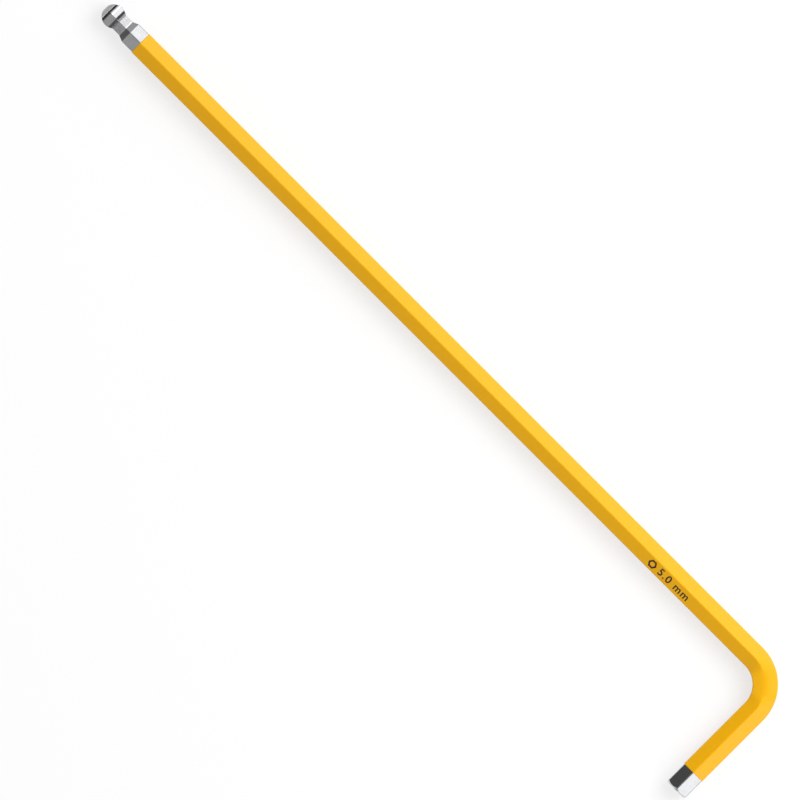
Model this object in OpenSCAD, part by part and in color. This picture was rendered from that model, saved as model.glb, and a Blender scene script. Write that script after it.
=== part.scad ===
/* [Bar] */
// Width of the hexagonal bar across its flats
across_flats = 5; // [3:0.1:8]
// How much the bar's corners are blunted, measured across two opposite corners
corner_blunting = 0.1; // [0.06:0.02:0.3]

/* [Arms] */
// Length of the long arm, from the ball's nose to the outside of the short arm
long_arm = 197; // [80:1:300]
// Length of the short arm, from its end face to the outside of the long arm
short_arm = 33; // [28:1:60]
// Radius of the bend, along the middle of the bar
bend_radius = 7.9; // [6:0.1:12]

/* [Ball end] */
// How much narrower the ball is across its faces than the bar
ball_clearance = 0.05; // [0.02:0.01:0.2]
// Depth of the neck below the bar's flats
neck_depth = 0.585; // [0.3:0.005:0.9]
// Length of the neck's straight floor
neck_floor = 1.48; // [0.5:0.02:4]
// Radius of the cove between the ball and the neck
ball_cove = 0.4; // [0.2:0.05:0.8]
// Radius of the cove between the neck and its shoulder
shoulder_cove = 1.2; // [0.4:0.1:2]
// Slope of the shoulder that rises from the neck to the bar, in degrees
shoulder_slope = 23; // [15:1:40]
// How far each cove's circle overlaps the ball or the slope, so that they meet in a faint edge
cove_overlap = 0.01; // [0.005:0.005:0.04]
// Length of the point that is turned away at the ball's nose
nose_trim = 0.05; // [0.02:0.01:0.15]
// Radius of the dome that is turned on the nose
nose_radius = 5; // [5:0.1:8]

/* [Short end] */
// Width of the turned chamfer round the end face, measured in from the corners
end_chamfer = 0.55; // [0.2:0.05:1]

/* [Coat] */
// Thickness of the powder coat
coat_thickness = 0.08; // [0.04:0.01:0.2]
// Length of bare bar between the shoulder and the coat
bare_at_shoulder = 2.9; // [1:0.1:10]
// Length of bare bar between the short end face and the coat
bare_at_end = 5; // [2:0.1:10]

/* [Hidden] */
$fn = 96;

// How far the bar reaches from its middle to a flat and to a corner, and where cuts are clear of it.
half_flats = across_flats / 2;
corner_radius = across_flats / sqrt(3) - corner_blunting / 2;
coated_half = half_flats + coat_thickness;
clear = 2 * corner_radius;

// The two arms meet at the origin: the long one runs to -X and the short one to -Y. The long one is
// reckoned to the ball's point, before the nose is turned.
long_reach = long_arm + nose_trim - coated_half;
short_reach = short_arm - coated_half;

// Stations along the ball end are measured from the ball's point, and heights from the middle.
ball_radius = half_flats - ball_clearance / 2;
neck_half = half_flats - neck_depth;

// The first cove starts at the ball's back and runs smoothly into the neck's floor.
cove_reach = ball_radius + ball_cove - cove_overlap;
cove_rise = neck_half + ball_cove;
neck_start = ball_radius + sqrt(pow(cove_reach, 2) - pow(cove_rise, 2));
ball_back = [
    ball_radius + (neck_start - ball_radius) * ball_radius / cove_reach,
    cove_rise * ball_radius / cove_reach
];

// The second cove leaves the floor smoothly and ends at the shoulder's slope.
neck_end = neck_start + neck_floor;
slope_reach = shoulder_cove - cove_overlap;
slope_foot = [
    neck_end + slope_reach * sin(shoulder_slope),
    neck_half + shoulder_cove - slope_reach * cos(shoulder_slope)
];
shoulder_end = slope_foot.x + (half_flats - slope_foot.y) / tan(shoulder_slope);

// Half of the box round the finished key, which lies on its lower corners.
rest_height = corner_radius + coat_thickness;
middle_x = long_arm / 2 - coated_half;
middle_y = short_arm / 2 - coated_half;

// A hexagon with a corner at the top and at the bottom, and all six corners blunted.
module bar_section(growth = 0) {
    intersection() {
        rotate(30)
            circle(r = (half_flats + growth) * 2 / sqrt(3), $fn = 6);
        circle(r = corner_radius + growth);
    }
}

// The coat's section, a ring that fits the bar's section face to face.
module coat_section() {
    difference() {
        bar_section(coat_thickness);
        bar_section();
    }
}

// A straight length of any section, from x = 0 to +X.
module along_x(length) {
    rotate([90, 0, 90])
        linear_extrude(length)
            children();
}

// A straight length of any section, from y = 0 to -Y.
module along_y(length) {
    rotate([90, 0, 0])
        linear_extrude(length)
            children();
}

// A quarter turn of any section, which joins the two straight arms.
module bend() {
    translate([-bend_radius, -bend_radius, 0])
        rotate_extrude(angle = 90)
            translate([bend_radius, 0])
                children();
}

// The outline that is ground away over one flat: round the ball, along the neck, up the shoulder.
module relief_outline() {
    near_middle = ball_radius / 20;
    difference() {
        union() {
            polygon([
                [-clear, near_middle],
                [ball_radius, near_middle],
                ball_back,
                [neck_start, neck_half],
                [neck_end, neck_half],
                slope_foot,
                [slope_foot.x + (clear - slope_foot.y) / tan(shoulder_slope), clear],
                [-clear, clear]
            ]);
            translate([neck_start, cove_rise])
                circle(r = ball_cove);
            translate([neck_end, neck_half + shoulder_cove])
                circle(r = shoulder_cove);
        }
        translate([ball_radius, 0])
            circle(r = ball_radius);
    }
}

// The bar of the long arm with its domed nose, before the ball end is ground.
module long_blank(length) {
    intersection() {
        along_x(length)
            bar_section();
        translate([nose_trim + nose_radius, 0, 0]) {
            sphere(r = nose_radius);
            rotate([0, 90, 0])
                cylinder(r = nose_radius, h = length);
        }
    }
}

// The long arm, from the ball's point at x = 0. One relief over each flat leaves the ball end.
module long_bar(length) {
    difference() {
        long_blank(length);
        for (side = [0:5])
            rotate([60 * side, 0, 0])
                translate([0, 0, -clear])
                    linear_extrude(2 * clear)
                        relief_outline();
    }
}

// The short arm, from y = 0 down to the end face with its turned chamfer.
module short_bar(length) {
    face_radius = corner_radius - end_chamfer;
    intersection() {
        along_y(length)
            bar_section();
        translate([0, -length, 0])
            rotate([-90, 0, 0])
                rotate_extrude()
                    polygon([
                        [0, 0],
                        [face_radius, 0],
                        [clear, clear - face_radius],
                        [clear, clear + length],
                        [0, clear + length]
                    ]);
    }
}

// Lays the key flat, with its box centred on the origin and its lower corners at z = 0.
module laid_flat() {
    translate([middle_x, middle_y, rest_height])
        children();
}

module key_bar() {
    color([0.80, 0.81, 0.82])
        laid_flat() {
            translate([-long_reach, 0, 0])
                long_bar(long_reach - bend_radius);
            bend()
                bar_section();
            translate([0, -bend_radius, 0])
                short_bar(short_reach - bend_radius);
        }
}

module coat() {
    coat_start = shoulder_end + bare_at_shoulder - long_reach;
    color([0.95, 0.70, 0.08])
        laid_flat() {
            translate([coat_start, 0, 0])
                along_x(-bend_radius - coat_start)
                    coat_section();
            bend()
                coat_section();
            translate([0, -bend_radius, 0])
                along_y(short_reach - bend_radius - bare_at_end)
                    coat_section();
        }
}

key_bar();
coat();
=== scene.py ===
from math import acos, asin, atan2, ceil, cos, hypot, pi, radians, sin, sqrt, tan
import bmesh
import bpy
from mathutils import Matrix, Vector


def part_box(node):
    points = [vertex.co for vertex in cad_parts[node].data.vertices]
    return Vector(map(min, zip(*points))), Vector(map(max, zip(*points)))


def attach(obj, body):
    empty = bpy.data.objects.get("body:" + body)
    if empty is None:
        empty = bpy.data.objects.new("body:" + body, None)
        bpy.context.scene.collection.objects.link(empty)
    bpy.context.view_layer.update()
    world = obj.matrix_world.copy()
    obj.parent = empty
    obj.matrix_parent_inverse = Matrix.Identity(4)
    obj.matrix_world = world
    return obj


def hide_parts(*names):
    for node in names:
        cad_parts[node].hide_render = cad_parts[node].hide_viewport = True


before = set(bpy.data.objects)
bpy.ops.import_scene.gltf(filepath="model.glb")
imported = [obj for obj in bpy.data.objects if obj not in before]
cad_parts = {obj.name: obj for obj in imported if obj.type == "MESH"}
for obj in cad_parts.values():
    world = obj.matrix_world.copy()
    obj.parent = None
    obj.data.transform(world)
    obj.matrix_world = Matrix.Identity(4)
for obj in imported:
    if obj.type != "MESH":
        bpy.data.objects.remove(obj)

mm = 0.001
micron = 0.001 * mm
weldDistance = 0.1 * micron  # points closer than this are one
cornerRatio = 2 / sqrt(3)  # a hexagon's corner distance for each unit of half its width across flats
upward = Vector((0, 0, 1))

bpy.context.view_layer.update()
barLow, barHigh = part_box("key_bar")
coatLow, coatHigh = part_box("coat")
print("frame loaded:", ", ".join(sorted(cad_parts)))


# The bar's middle line: the long arm runs along +X, then a quarter bend, then the short arm along -Y
key = {
    "halfFlats": 2.5 * mm,
    "bendRadius": 7.9 * mm,
    "noseTrim": 0.05 * mm,  # the ball's point is turned away by this much
    "longStep": 8 * mm,  # longest stretch between two rings on a straight arm
    "bendSteps": 36,
}

halfFlats = key["halfFlats"]
bendRadius = key["bendRadius"]
cornerReach = (barHigh.z - barLow.z) / 2
middleZ = (barHigh.z + barLow.z) / 2
longArmY = barHigh.y - halfFlats
shortArmX = barHigh.x - halfFlats
bendCentre = Vector((shortArmX - bendRadius, longArmY - bendRadius, middleZ))
pointX = barLow.x - key["noseTrim"]

longRun = bendCentre.x - pointX
bendRun = bendRadius * pi / 2
keyRun = longRun + bendRun + bendCentre.y - barLow.y


def placeOnKey(run):
    # middle of the bar, its outward side and its direction, at a distance from the ball's point
    turned = min(max(run - longRun, 0) / bendRadius, pi / 2)
    outward = Vector((sin(turned), cos(turned), 0))
    ahead = Vector((cos(turned), -sin(turned), 0))
    past = min(run - longRun, 0) + max(run - longRun - bendRun, 0)
    return bendCentre + outward * bendRadius + ahead * past, outward, ahead


def runsBetween(start, end):
    # evenly spaced distances along the key, closer together round the bend
    stops = [start] + [x for x in (longRun, longRun + bendRun) if start < x < end] + [end]
    runs = [start]
    for a, b in zip(stops, stops[1:]):
        inBend = a >= longRun and b <= longRun + bendRun
        steps = key["bendSteps"] if inBend else ceil((b - a) / key["longStep"])
        runs += [a + (b - a) * i / steps for i in range(1, steps + 1)]
    return runs


# One ring of points round the bar: six flats, rounded corners, and what a lathe cut leaves of them
ringSteps = {"flat": 3, "corner": 5, "cut": 4}


def halfSide(station):
    # from a flat's middle to the corner: x, y and the way that the surface faces
    flats, rounding = station["flats"], station["rounding"]
    cut = station.get("cut", 2 * cornerReach)  # radius of the lathe cut, which spares the uncut rings
    centre = (flats - rounding) * cornerRatio
    flatEnd = (flats - rounding) * tan(pi / 6)

    def roundedCorner(turn):
        x = centre * cos(pi / 6) + rounding * cos(turn)
        y = centre * sin(pi / 6) + rounding * sin(turn)
        return x, y, turn

    flatSteps, cornerSteps = ringSteps["flat"], ringSteps["corner"]
    points = [(flats, flatEnd * i / flatSteps, 0) for i in range(flatSteps + 1)]
    points += [roundedCorner(pi / 6 * i / cornerSteps) for i in range(1, cornerSteps + 1)]
    if hypot(*points[-1][:2]) > cut:
        if cut <= flats:
            edge = (cut, 0, 0)
        elif cut <= hypot(flats, flatEnd):
            edge = (flats, sqrt(cut ** 2 - flats ** 2), 0)
        else:
            lean = acos((cut ** 2 - centre ** 2 - rounding ** 2) / (2 * centre * rounding))
            edge = roundedCorner(pi / 6 - lean)
        points = [p if hypot(p[0], p[1]) < cut else edge for p in points]
    edgeAngle = atan2(points[-1][1], points[-1][0])
    edgeRadius = hypot(*points[-1][:2])
    for i in range(1, ringSteps["cut"] + 1):
        angle = edgeAngle + (pi / 6 - edgeAngle) * i / ringSteps["cut"]
        points.append((edgeRadius * cos(angle), edgeRadius * sin(angle), angle))
    return points


# The bar is pressed flatter in the bend, where its upper and lower ridges turn low and soft
press = {
    "ridge": 2.37 * mm,  # height of the ridge over the bar's middle
    "fall": 0.3,  # how steeply the faces fall away from it
    "softness": 1.0 * mm,  # about half the width of the soft ridge
    "hold": 1.25,  # above 1, so that the middle third of the bend is pressed evenly
}


def pressShare(run):
    # 0 on the straight arms, 1 in the middle of the bend
    turned = min(max(run - longRun, 0) / bendRun, 1)
    share = min(press["hold"] * sin(pi * turned) ** 2, 1)
    return share ** 2 * (3 - 2 * share)


def heightKept(station, run, across):
    # height of the section at a place across the bar, as a share of its height on the arms
    flats, rounding = station["flats"], station["rounding"]
    if abs(across) < rounding * sin(pi / 6):
        straight = (flats - rounding) * cornerRatio + sqrt(rounding ** 2 - across ** 2)
    else:
        straight = (flats - abs(across) / 2) * cornerRatio
    fallen = press["fall"] * (hypot(across, press["softness"]) - press["softness"])
    pressed = press["ridge"] + flats - halfFlats - fallen
    return 1 + pressShare(run) * (pressed / straight - 1)


def pressing(station, across):
    # that share, and how fast it changes relative to itself, across the bar and along it
    run, step = station["run"], micron
    if pressShare(run) == 0:
        return 1, 0, 0
    kept = heightKept(station, run, across)
    acrossChange = heightKept(station, run, across + step) - heightKept(station, run, across - step)
    aheadChange = heightKept(station, run + step, across) - heightKept(station, run - step, across)
    stretch = 1 + across / bendRadius  # the outer side of the bend is the longer way round
    return kept, acrossChange / (2 * step * kept), aheadChange / (2 * step * kept * stretch)


def ringSlots(station):
    # the whole ring, as places with the surface's normal before and past the lathe cut
    half = halfSide(station)
    side = [(x, -y, -turn, i) for i, (x, y, turn) in reversed(list(enumerate(half)))]
    side += [(x, y, turn, i) for i, (x, y, turn) in enumerate(half)][1:]
    uncut = ringSteps["flat"] + ringSteps["corner"]
    slopeAhead, slopeOut = station["slope"]
    cutAhead, cutOut = station.get("cutSlope", station["slope"])
    centre, outward, ahead = placeOnKey(station["run"])
    slots = []
    for flat in range(6):
        for x, y, turn, i in side[:-1]:
            angle = atan2(y, x) + flat * pi / 3
            across, height = hypot(x, y) * cos(angle), hypot(x, y) * sin(angle)
            if i > uncut:
                turn = half[uncut][2] if y > 0 else -half[uncut][2]
            faceTurn = flat * pi / 3 + turn
            lean = cornerRatio * cos(pi / 6 - abs(turn))
            kept, acrossChange, aheadChange = pressing(station, across)
            rise = sin(faceTurn) * slopeOut
            slots.append({
                "place": centre + outward * across + upward * height * kept,
                "normal": outward * (cos(faceTurn) * slopeOut - rise * height * acrossChange)
                + upward * rise / kept
                + ahead * (slopeAhead * lean - rise * height * aheadChange),
                "cutNormal": (outward * cos(angle) + upward * sin(angle)) * cutOut + ahead * cutAhead,
                "angle": angle,
                "pastCut": i > uncut,
            })
    return slots


def meshFromStations(name, stations):
    # skins the rings, with a smooth normal on every corner and a map of distance along and round
    rings = [ringSlots(s) for s in stations]
    count = len(rings[0])
    places, known = [], {}

    def indexOf(place):
        spot = tuple(round(c / weldDistance) for c in place)
        if spot not in known:
            known[spot] = len(places)
            places.append(place)
        return known[spot]

    faces, normals, mapped = [], [], []
    for a, b, stationA, stationB in zip(rings, rings[1:], stations, stations[1:]):
        for i in range(count):
            j = (i + 1) % count
            pastCut = a[i]["pastCut"] or a[j]["pastCut"]
            which = "cutNormal" if pastCut else "normal"
            corners = [(a, i, stationA), (a, j, stationA), (b, j, stationB), (b, i, stationB)]
            face, faceNormals, faceMap = [], [], []
            for ring, k, station in corners:
                index = indexOf(ring[k]["place"])
                if index in face:
                    continue
                angle = ring[k]["angle"] + (2 * pi if k == 0 and i == count - 1 else 0)
                face.append(index)
                faceNormals.append(ring[k][which].normalized())
                faceMap.append((station["run"] / mm, angle * halfFlats / mm))
            if len(face) > 2:
                faces.append(face)
                normals += faceNormals
                mapped += faceMap
    mesh = bpy.data.meshes.new(name)
    mesh.from_pydata(places, [], faces)
    mesh.shade_smooth()
    layer = mesh.uv_layers.new(name="alongAndRound")  # both in millimetres
    for loop, uv in zip(layer.data, mapped):
        loop.uv = uv
    mesh.normals_split_custom_set(normals)
    piece = bpy.data.objects.new(name, mesh)
    bpy.context.scene.collection.objects.link(piece)
    return piece


# Steel bar: ball end, bend and square end, all in one piece
bar = {
    "ballClearance": 0.05 * mm,
    "neckDepth": 0.585 * mm,
    "neckFloor": 1.48 * mm,
    "ballCove": 0.4 * mm,
    "shoulderCove": 1.2 * mm,
    "shoulderSlope": radians(23),
    "shoulderRounding": 0.25 * mm,
    "noseRadius": 5 * mm,
    "noseSpread": 0.97 * mm,  # how wide the turned nose reaches before the ball's faces take over
    "ridgeRounding": 0.12 * mm,  # ground corners of the ball and the neck
    "endChamfer": 0.55 * mm,
    "noseSteps": 9,
    "ballSteps": 36,
    "coveSteps": 8,
    "edgeSteps": 4,
    "chamferSteps": 6,
}


def drawnRounding(flats):
    # the rounding that ends a section's corners where the drawn bar's corners end
    return (flats * cornerRatio - cornerReach) / (cornerRatio - 1)


def barStation(run, flats, slope=(0, 1), **cut):
    # corners are ground crisp, and blunt where they reach the bar's own corners
    rounding = min(max(bar["ridgeRounding"], drawnRounding(flats)), flats)
    return {"run": run, "flats": flats, "rounding": rounding, "slope": slope, **cut}


def arcStations(centre, radius, start, end, steps, hollow=False):
    # an arc of the ball end's outline; a hollow one faces its centre
    side = -1 if hollow else 1
    stations = []
    for i in range(steps + 1):
        angle = start + (end - start) * i / steps
        run, flats = centre[0] + radius * cos(angle), centre[1] + radius * sin(angle)
        stations.append(barStation(run, flats, (side * cos(angle), side * sin(angle))))
    return stations


def ballEndStations():
    ballRadius = halfFlats - bar["ballClearance"] / 2
    neckHalf = halfFlats - bar["neckDepth"]
    cove, shoulder = bar["ballCove"], bar["shoulderCove"]
    stations = []

    # turned nose, a shallow dome that cuts the ball's point
    for i in range(bar["noseSteps"] + 1):
        spread = bar["noseSpread"] * i / bar["noseSteps"]
        rise = sqrt(bar["noseRadius"] ** 2 - spread ** 2)
        run = key["noseTrim"] + bar["noseRadius"] - rise
        flats = sqrt(ballRadius ** 2 - (ballRadius - run) ** 2)
        stations.append(barStation(
            run,
            flats,
            ((run - ballRadius) / ballRadius, flats / ballRadius),
            cut=spread,
            cutSlope=(-rise / bar["noseRadius"], spread / bar["noseRadius"]),
        ))

    # barrel faces of the ball, then the cove behind them
    coveCentre = (
        ballRadius + sqrt((ballRadius + cove) ** 2 - (neckHalf + cove) ** 2),
        neckHalf + cove,
    )
    backAngle = atan2(coveCentre[1], coveCentre[0] - ballRadius)
    noseAngle = pi - asin(stations[-1]["flats"] / ballRadius)
    coveSteps = bar["coveSteps"]
    stations += arcStations((ballRadius, 0), ballRadius, noseAngle, backAngle, bar["ballSteps"])[1:]
    stations += arcStations(coveCentre, cove, pi + backAngle, 1.5 * pi, coveSteps, hollow=True)

    # neck, the longer cove and the slope up to the bar's own flats
    neckEnd = coveCentre[0] + bar["neckFloor"]
    slope = bar["shoulderSlope"]
    riseCentre = (neckEnd, neckHalf + shoulder)
    stations += arcStations(riseCentre, shoulder, 1.5 * pi, 1.5 * pi + slope, coveSteps, hollow=True)
    slopeFoot = stations[-1]
    shoulderEnd = slopeFoot["run"] + (halfFlats - slopeFoot["flats"]) / tan(slope)
    rounding = bar["shoulderRounding"]
    roundedFrom = (shoulderEnd + rounding * tan(slope / 2), halfFlats - rounding)
    stations += arcStations(roundedFrom, rounding, pi / 2 + slope, pi / 2, bar["edgeSteps"])
    return stations


def squareEndStations():
    # turned chamfer round the short arm's end, then the flat end face
    faceRadius = cornerReach - bar["endChamfer"]
    coneSlope = (sqrt(0.5), sqrt(0.5))
    steps = bar["chamferSteps"]
    cuts = [cornerReach - (cornerReach - halfFlats) * i / steps for i in range(steps + 1)]
    stations = [
        barStation(keyRun - (cut - faceRadius), halfFlats, cut=cut, cutSlope=coneSlope) for cut in cuts
    ]
    stations.append(barStation(keyRun, halfFlats, cut=faceRadius, cutSlope=coneSlope))
    stations.append(barStation(keyRun, halfFlats, cut=faceRadius, cutSlope=(1, 0)))
    stations.append(barStation(keyRun, halfFlats, cut=0, cutSlope=(1, 0)))
    return stations


def makeBar():
    ballEnd = ballEndStations()
    squareEnd = squareEndStations()
    straight = [
        barStation(run, halfFlats) for run in runsBetween(ballEnd[-1]["run"], squareEnd[0]["run"])[1:-1]
    ]
    piece = meshFromStations("steel_bar", ballEnd + straight + squareEnd)
    piece.data.materials.append(platedSteel())
    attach(piece, "root")
    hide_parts("key_bar")


# Powder coat: a thin skin with a rounded lip at each end
coat = {
    "thickness": coatHigh.x - barHigh.x,
    "start": coatLow.x - pointX,
    "end": keyRun - (coatLow.y - barLow.y),
    "lip": 0.14 * mm,
    "lipSteps": 5,
    "tuck": 5 * micron,  # how far the hidden side sinks into the bar
}


def coatStation(run, depth, slope=(0, 1)):
    # a ring at some depth of coat over the bar, or sunk into it
    rounding = drawnRounding(halfFlats) + max(depth, 0)
    return {"run": run, "flats": halfFlats + depth, "rounding": rounding, "slope": slope}


def lipStations(edge, direction):
    # quarter-round from the bar's surface up to the coat's full thickness
    steps = coat["lipSteps"]
    stations = []
    for i in range(steps + 1):
        turn = pi / 2 * i / steps
        stations.append(coatStation(
            edge + direction * coat["lip"] * (1 - cos(turn)),
            coat["thickness"] * sin(turn),
            (-direction * cos(turn), sin(turn)),
        ))
    return stations


def makeCoat():
    start, end = coat["start"], coat["end"]
    straight = runsBetween(start + coat["lip"], end - coat["lip"])[1:-1]
    outside = lipStations(start, 1)
    outside += [coatStation(run, coat["thickness"]) for run in straight]
    outside += reversed(lipStations(end, -1))
    inside = [coatStation(run, -coat["tuck"], (0, -1)) for run in [end, *reversed(straight), start]]
    piece = meshFromStations("powder_coat", outside + inside + outside[:1])
    piece.data.materials.append(yellowCoat())
    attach(piece, "root")
    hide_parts("coat")


# Size mark: a hexagon and the drive size, printed on the upper flat that faces -Y
sizeMark = {
    "middle": 162.6 * mm,  # from the nose
    "words": "5.0 mm",
    "textSize": 2.45 * mm,
    "spacing": 1.15,
    "inkDepth": 12 * micron,
    "weight": 0.08 * mm,  # how much wider the strokes are than the font's
    "hexagon": 0.9 * mm,  # half its width across flats
    "hexagonLine": 0.36 * mm,
    "gap": 2.2 * mm,  # from the middle of the mark back to the words' start
}


def layOnFlat(piece, along):
    # the flat leans 30 degrees, and print reads with its top towards the ridge
    lean = pi / 6
    reach = halfFlats + coat["thickness"]
    piece.rotation_euler = (lean, 0, 0)
    piece.location = (
        barLow.x + along,
        longArmY - reach * sin(lean),
        middleZ + reach * cos(lean),
    )


def letterMesh(name):
    # the words as a closed mesh, with every face turned outward
    curve = bpy.data.curves.new(name, "FONT")
    curve.body = sizeMark["words"]
    curve.size = sizeMark["textSize"]
    curve.space_character = sizeMark["spacing"]
    curve.align_x = "LEFT"
    curve.align_y = "CENTER"
    curve.extrude = sizeMark["inkDepth"]
    curve.offset = sizeMark["weight"] / 2
    text = bpy.data.objects.new(name, curve)
    mesh = bpy.data.meshes.new_from_object(text)
    bpy.data.objects.remove(text)
    bpy.data.curves.remove(curve)
    letters = bmesh.new()
    letters.from_mesh(mesh)
    bmesh.ops.remove_doubles(letters, verts=letters.verts, dist=weldDistance)
    bmesh.ops.recalc_face_normals(letters, faces=letters.faces)
    letters.to_mesh(mesh)
    letters.free()
    return mesh


def hexagonMesh(name):
    # a hexagon's outline as a closed mesh
    outer, line, depth = sizeMark["hexagon"], sizeMark["hexagonLine"], sizeMark["inkDepth"]
    places, faces = [], []
    for i in range(6):
        angle = i * pi / 3
        for radius in (outer * cornerRatio, (outer - line) * cornerRatio):
            places += [(radius * cos(angle), radius * sin(angle), z) for z in (-depth, depth)]
    for i in range(6):
        a, b = i * 4, (i + 1) % 6 * 4  # outer low, outer high, inner low, inner high
        faces += [
            (a, b, b + 1, a + 1),
            (a + 1, b + 1, b + 3, a + 3),
            (a + 3, b + 3, b + 2, a + 2),
            (a + 2, b + 2, b, a),
        ]
    mesh = bpy.data.meshes.new(name)
    mesh.from_pydata(places, [], faces)
    return mesh


def makeSizeMark():
    inkMaterial = printInk()
    wordsStart = sizeMark["middle"] - sizeMark["gap"]
    hexagonMiddle = wordsStart - 2 * sizeMark["hexagon"]
    marks = [("size_words", letterMesh, wordsStart), ("size_hexagon", hexagonMesh, hexagonMiddle)]
    for name, makeMesh, along in marks:
        piece = bpy.data.objects.new(name, makeMesh(name))
        bpy.context.scene.collection.objects.link(piece)
        piece.data.materials.append(inkMaterial)
        layOnFlat(piece, along)
        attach(piece, "root")


# Materials, put together from a few kinds of shader node
noiseLow, noiseHigh = 0.3, 0.7  # a noise texture seldom leaves this range


def newMaterial(name):
    material = bpy.data.materials.new(name)
    material.use_nodes = True
    return material, material.node_tree.nodes, material.node_tree.links


def keyMap(nodes):
    # distance along the key and round it, in millimetres
    uv = nodes.new("ShaderNodeUVMap")
    uv.uv_map = "alongAndRound"
    return uv.outputs["UV"]


def mapNode(nodes, links, source, scale):
    mapping = nodes.new("ShaderNodeMapping")
    mapping.inputs["Scale"].default_value = scale
    links.new(source, mapping.inputs["Vector"])
    return mapping.outputs["Vector"]


def noiseNode(nodes, links, vector, scale, detail):
    noise = nodes.new("ShaderNodeTexNoise")
    noise.inputs["Scale"].default_value = scale
    noise.inputs["Detail"].default_value = detail
    links.new(vector, noise.inputs["Vector"])
    return noise.outputs["Fac"]


def rangeNode(nodes, links, source, low, high):
    spread = nodes.new("ShaderNodeMapRange")
    spread.inputs["From Min"].default_value = noiseLow
    spread.inputs["From Max"].default_value = noiseHigh
    spread.inputs["To Min"].default_value = low
    spread.inputs["To Max"].default_value = high
    links.new(source, spread.inputs["Value"])
    return spread.outputs["Result"]


def tintNode(nodes, links, source, low, high):
    ramp = nodes.new("ShaderNodeValToRGB")
    ramp.color_ramp.elements[0].position = noiseLow
    ramp.color_ramp.elements[0].color = (*low, 1)
    ramp.color_ramp.elements[1].position = noiseHigh
    ramp.color_ramp.elements[1].color = (*high, 1)
    links.new(source, ramp.inputs["Fac"])
    return ramp.outputs["Color"]


def bumpNode(nodes, links, height, depth, normal=None):
    bump = nodes.new("ShaderNodeBump")
    bump.inputs["Strength"].default_value = 1
    bump.inputs["Distance"].default_value = depth
    links.new(height, bump.inputs["Height"])
    if normal:
        links.new(normal, bump.inputs["Normal"])
    return bump.outputs["Normal"]


def mathNode(nodes, links, operation, *values):
    node = nodes.new("ShaderNodeMath")
    node.operation = operation
    for value, socket in zip(values, node.inputs):
        if isinstance(value, (int, float)):
            socket.default_value = value
        else:
            links.new(value, socket)
    return node.outputs[0]


def mixNode(nodes, links, kind, share, a, b):
    mix = nodes.new("ShaderNodeMix")
    mix.data_type = kind
    inputs = [s for s in mix.inputs if s.enabled]
    for value, socket in zip((share, a, b), inputs):
        links.new(value, socket)
    return next(s for s in mix.outputs if s.enabled)


# Bright plated steel: marks from drawing run along the bar, and the ball end is ground across it
steel = {
    "darker": (0.57, 0.575, 0.585),
    "lighter": (0.63, 0.635, 0.645),
    "smooth": 0.1,
    "rough": 0.17,
    "marksPerMm": 9,
    "marksLong": 0.12,  # marks are this much coarser along their own direction
    "markDetail": 3,
    "markDepth": 0.4 * micron,
    "cloudsPerMm": 0.8,
    "cloudDetail": 4,
    "softEdge": 0.1,  # this and the next four lie along the bar, in mm from the ball's point
    "noseTo": 0.92,
    "neckFrom": 3.7,
    "neckTo": 5.8,
    "groundTo": 7.3,
    # grinding marks in the neck, with painted shade that darkens the neck's hollow
    "neckShadeDarker": (0.44, 0.445, 0.45),
    "neckLighter": (0.63, 0.635, 0.645),
    "neckMarksPerMm": 2.5,
    "neckRoughness": 0.06,  # added to the roughness of the rest
    "noseShadeDarker": (0.31, 0.315, 0.32),  # painted shade: the front of the ball is darkened to stand in for a dimmer reflection there
    "noseShadeLighter": (0.39, 0.395, 0.4),
}


def stepNode(nodes, links, source, at):
    # 0 before the place and 1 past it, with a short soft edge
    step = nodes.new("ShaderNodeMapRange")
    step.inputs["From Min"].default_value = at - steel["softEdge"]
    step.inputs["From Max"].default_value = at + steel["softEdge"]
    links.new(source, step.inputs["Value"])
    return step.outputs["Result"]


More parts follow.
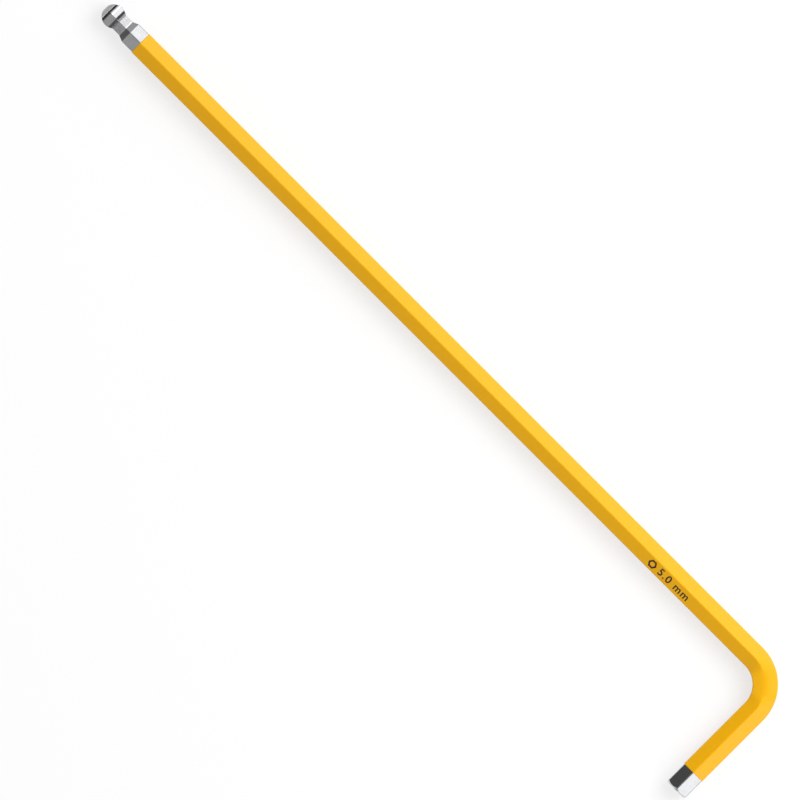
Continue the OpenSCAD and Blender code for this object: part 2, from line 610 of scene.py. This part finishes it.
def platedSteel():
    material, nodes, links = newMaterial("plated_steel")
    shader = nodes["Principled BSDF"]
    shader.inputs["Metallic"].default_value = 1
    onBar = keyMap(nodes)
    split = nodes.new("ShaderNodeSeparateXYZ")
    links.new(onBar, split.inputs["Vector"])
    along = split.outputs["X"]
    pastNose = stepNode(nodes, links, along, steel["noseTo"])
    pastBallEnd = stepNode(nodes, links, along, steel["groundTo"])
    inNeck = mathNode(
        nodes, links, "SUBTRACT",
        stepNode(nodes, links, along, steel["neckFrom"]),
        stepNode(nodes, links, along, steel["neckTo"]),
    )
    drawn = mapNode(nodes, links, onBar, (steel["marksLong"], 1, 1))
    ground = mapNode(nodes, links, onBar, (1, steel["marksLong"], 1))
    fine = mixNode(
        nodes, links, "FLOAT", pastBallEnd,
        noiseNode(nodes, links, ground, steel["marksPerMm"], steel["markDetail"]),
        noiseNode(nodes, links, drawn, steel["marksPerMm"], steel["markDetail"]),
    )
    cloud = noiseNode(nodes, links, onBar, steel["cloudsPerMm"], steel["cloudDetail"])
    wheelMarks = noiseNode(nodes, links, onBar, steel["neckMarksPerMm"], steel["cloudDetail"])
    # the neck's tint is grinding marks together with painted shade in its hollow
    plainWithNeckShade = mixNode(
        nodes, links, "RGBA", inNeck,
        tintNode(nodes, links, cloud, steel["darker"], steel["lighter"]),
        tintNode(nodes, links, wheelMarks, steel["neckShadeDarker"], steel["neckLighter"]),
    )
    # painted shade on the ball's front, much darker than the rest of the steel
    nose = tintNode(nodes, links, wheelMarks, steel["noseShadeDarker"], steel["noseShadeLighter"])
    colour = mixNode(nodes, links, "RGBA", pastNose, nose, plainWithNeckShade)
    polish = rangeNode(nodes, links, fine, steel["smooth"], steel["rough"])
    roughness = mathNode(nodes, links, "MULTIPLY_ADD", inNeck, steel["neckRoughness"], polish)
    links.new(colour, shader.inputs["Base Color"])
    links.new(roughness, shader.inputs["Roughness"])
    links.new(bumpNode(nodes, links, fine, steel["markDepth"]), shader.inputs["Normal"])
    return material


# Satin powder coat with a fine orange-peel surface
paint = {
    "darker": (0.85, 0.425, 0.0),
    "lighter": (0.885, 0.4425, 0.0),
    "smooth": 0.22,
    "rough": 0.28,
    "peelPerMm": 1.6,
    "peelDepth": 3 * micron,
    "grainPerMm": 9,
    "grainDepth": 0.5 * micron,
    "detail": 2,
    "gloss": 0.37,
}


def yellowCoat():
    material, nodes, links = newMaterial("yellow_powder_coat")
    shader = nodes["Principled BSDF"]
    shader.inputs["Specular IOR Level"].default_value = paint["gloss"]
    onCoat = keyMap(nodes)
    peel = noiseNode(nodes, links, onCoat, paint["peelPerMm"], paint["detail"])
    grain = noiseNode(nodes, links, onCoat, paint["grainPerMm"], paint["detail"])
    links.new(tintNode(nodes, links, peel, paint["darker"], paint["lighter"]), shader.inputs["Base Color"])
    links.new(rangeNode(nodes, links, grain, paint["smooth"], paint["rough"]), shader.inputs["Roughness"])
    wavy = bumpNode(nodes, links, peel, paint["peelDepth"])
    links.new(bumpNode(nodes, links, grain, paint["grainDepth"], wavy), shader.inputs["Normal"])
    return material


# Dark pad-printed ink
ink = {
    "darker": (0.016, 0.008, 0.004),
    "lighter": (0.04, 0.02, 0.01),
    "smooth": 0.4,
    "rough": 0.6,
    "grainPerMetre": 9000,
    "grainDetail": 3,
}


def printInk():
    material, nodes, links = newMaterial("print_ink")
    shader = nodes["Principled BSDF"]
    where = nodes.new("ShaderNodeTexCoord")
    grain = noiseNode(nodes, links, where.outputs["Object"], ink["grainPerMetre"], ink["grainDetail"])
    links.new(tintNode(nodes, links, grain, ink["darker"], ink["lighter"]), shader.inputs["Base Color"])
    links.new(rangeNode(nodes, links, grain, ink["smooth"], ink["rough"]), shader.inputs["Roughness"])
    return material


# Studio: pale floor, white surroundings, three softboxes and cards that only reflections show
studio = {
    "floorSize": 8.0,
    "floorColour": (0.95, 0.95, 0.95),
    "floorGlow": 0.72,
    "worldLevel": 0.4,  # white light from all round
    "backdropLevel": 1,  # the same white as the camera and reflections see it
    "cardDistance": 0.75,
    "cardSteps": 24,
    "ceilingHeight": 0.96,
    "ceilingRadius": 0.72,
    "ceilingLevel": 0.35,
}
# azimuths and elevations are in degrees, seen from the origin, and azimuths may run past 360
softboxes = [
    {
        "name": "upper_right", "azimuth": 100, "elevation": 32, "distance": 0.71,
        "size": (0.7, 0.45), "level": 1.45, "reflected": True,
    },
    {
        "name": "lower_right", "azimuth": 0, "elevation": 32, "distance": 0.7,
        "size": (0.44, 0.45), "level": 1.45, "reflected": True,
    },
    {
        "name": "overhead", "azimuth": 60, "elevation": 52, "distance": 0.95,
        "size": (0.7, 0.6), "level": 4.8, "reflected": False,
    },
]
cards = [
    {"name": "behind_upper_right", "from": 66, "to": 115, "low": 14, "high": 52, "level": 0},
    {"name": "edge_side", "from": 115, "to": 139, "low": 13, "high": 52, "level": 0.7},
    {"name": "edge_low", "from": 115, "to": 139, "low": -3, "high": 13, "level": 0},
    {"name": "dark_side", "from": 139, "to": 205, "low": 12, "high": 52, "level": 0.09},
    {"name": "dark_corner", "from": 205, "to": 228, "low": 12, "high": 52, "level": 0.15},
    {"name": "dark_low", "from": 139, "to": 228, "low": -3, "high": 12, "level": 0},
    {"name": "grey_side", "from": 228, "to": 294, "low": 14, "high": 52, "level": 0.46},
    {"name": "grey_low", "from": 228, "to": 294, "low": -3, "high": 14, "level": 0.1},
    {"name": "gap_lower", "from": 294, "to": 335, "low": -3, "high": 52, "level": 0.12},
    {"name": "right_low", "from": 335, "to": 385, "low": -3, "high": 16, "level": 0.1},
    {"name": "behind_lower_right", "from": 335, "to": 385, "low": 16, "high": 52, "level": 0},
    {"name": "gap_right", "from": 385, "to": 426, "low": 10, "high": 52, "level": 0.1},
    {"name": "gap_right_low", "from": 385, "to": 426, "low": -3, "high": 10, "level": 0.7},
    {"name": "upper_low", "from": 426, "to": 475, "low": -3, "high": 14, "level": 0.1},
]


def seenDirectly(nodes, links):
    # 1 for what the camera, a reflection or a clear part shows, 0 for light on the object
    path = nodes.new("ShaderNodeLightPath")
    result = path.outputs["Is Camera Ray"]
    for ray in ("Is Glossy Ray", "Is Transmission Ray"):
        result = mathNode(nodes, links, "MAXIMUM", result, path.outputs[ray])
    return result


def makeWorld():
    world = bpy.data.worlds.new("studio")
    world.use_nodes = True
    nodes, links = world.node_tree.nodes, world.node_tree.links
    light = nodes["Background"]
    light.inputs["Strength"].default_value = studio["worldLevel"]
    light.inputs["Color"].default_value = (1, 1, 1, 1)
    backdrop = nodes.new("ShaderNodeBackground")
    backdrop.inputs["Color"].default_value = (1, 1, 1, 1)
    backdrop.inputs["Strength"].default_value = studio["backdropLevel"]
    mix = nodes.new("ShaderNodeMixShader")
    links.new(seenDirectly(nodes, links), mix.inputs["Fac"])
    links.new(light.outputs["Background"], mix.inputs[1])
    links.new(backdrop.outputs["Background"], mix.inputs[2])
    links.new(mix.outputs["Shader"], nodes["World Output"].inputs["Surface"])
    bpy.context.scene.world = world


def makeFloor():
    half = studio["floorSize"] / 2
    corners = [(-half, -half, 0), (half, -half, 0), (half, half, 0), (-half, half, 0)]
    mesh = bpy.data.meshes.new("floor")
    mesh.from_pydata(corners, [], [(0, 1, 2, 3)])
    floor = bpy.data.objects.new("floor", mesh)
    bpy.context.scene.collection.objects.link(floor)
    material, nodes, links = newMaterial("pale_floor")
    surface = nodes["Principled BSDF"]
    surface.inputs["Base Color"].default_value = (*studio["floorColour"], 1)
    surface.inputs["Roughness"].default_value = 1
    surface.inputs["Specular IOR Level"].default_value = 0
    glow = nodes.new("ShaderNodeEmission")
    share = mathNode(nodes, links, "MULTIPLY", seenDirectly(nodes, links), studio["floorGlow"])
    mix = nodes.new("ShaderNodeMixShader")
    links.new(share, mix.inputs["Fac"])
    links.new(surface.outputs["BSDF"], mix.inputs[1])
    links.new(glow.outputs["Emission"], mix.inputs[2])
    links.new(mix.outputs["Shader"], nodes["Material Output"].inputs["Surface"])
    mesh.materials.append(material)


def directionOf(azimuth, elevation):
    a, e = radians(azimuth), radians(elevation)
    return Vector((cos(a) * cos(e), sin(a) * cos(e), sin(e)))


def makeSoftbox(settings):
    light = bpy.data.lights.new(settings["name"], "AREA")
    light.shape = "RECTANGLE"
    light.size, light.size_y = settings["size"]
    light.energy = settings["level"] * pi * light.size * light.size_y
    box = bpy.data.objects.new(settings["name"], light)
    toBox = directionOf(settings["azimuth"], settings["elevation"])
    box.location = toBox * settings["distance"]
    box.rotation_euler = toBox.to_track_quat("Z", "Y").to_euler()
    box.visible_camera = False
    box.visible_glossy = settings["reflected"]
    bpy.context.scene.collection.objects.link(box)


def hangCard(name, places, faces, level):
    # a card that only reflections show
    mesh = bpy.data.meshes.new(name)
    mesh.from_pydata(places, [], faces)
    card = bpy.data.objects.new(name, mesh)
    bpy.context.scene.collection.objects.link(card)
    material, nodes, links = newMaterial(name)
    glow = nodes.new("ShaderNodeEmission")
    glow.inputs["Color"].default_value = (1, 1, 1, 1)
    glow.inputs["Strength"].default_value = level
    links.new(glow.outputs["Emission"], nodes["Material Output"].inputs["Surface"])
    mesh.materials.append(material)
    card.visible_camera = False
    card.visible_diffuse = False
    card.visible_transmission = False
    card.visible_shadow = False


def makeCard(settings):
    # a curved card that stands round the table
    steps = studio["cardSteps"]
    radius = studio["cardDistance"]
    places, faces = [], []
    for i in range(steps + 1):
        azimuth = settings["from"] + (settings["to"] - settings["from"]) * i / steps
        foot = directionOf(azimuth, 0) * radius
        for elevation in (settings["low"], settings["high"]):
            places.append(foot + upward * radius * tan(radians(elevation)))
    for i in range(steps):
        faces.append((2 * i, 2 * i + 1, 2 * i + 3, 2 * i + 2))
    hangCard(settings["name"], places, faces, settings["level"])


def makeCeiling():
    # a round card overhead, which the flattened top of the bend reflects
    steps, radius = studio["cardSteps"], studio["ceilingRadius"]
    above = upward * studio["ceilingHeight"]
    places = [directionOf(360 * i / steps, 0) * radius + above for i in range(steps)]
    hangCard("ceiling", places, [tuple(range(steps))], studio["ceilingLevel"])


# Camera: straight above, turned so that the long arm runs from the upper left to the lower right
camera = {
    "lens": 1000,  # far away, so that the picture has next to no perspective
    "viewWidth": 162.67 * mm,
    "aim": (0.23 * mm, -0.06 * mm),
    "turn": radians(45),
    "nearest": 10 * mm,  # nothing closer to the lens is drawn
}


def makeCamera():
    data = bpy.data.cameras.new("camera")
    data.lens = camera["lens"]
    data.clip_start = camera["nearest"]
    eye = bpy.data.objects.new("camera", data)
    distance = camera["viewWidth"] * camera["lens"] / data.sensor_width
    eye.location = (*camera["aim"], middleZ + distance)
    eye.rotation_euler = (0, 0, camera["turn"])
    bpy.context.scene.collection.objects.link(eye)
    bpy.context.scene.camera = eye


makeBar()
print("steel bar built")
makeCoat()
print("powder coat built")
makeSizeMark()
print("size mark printed")

makeWorld()
makeFloor()
for settings in softboxes:
    makeSoftbox(settings)
for settings in cards:
    makeCard(settings)
makeCeiling()
makeCamera()
bpy.context.scene.view_settings.view_transform = "Standard"
print("studio and camera set")
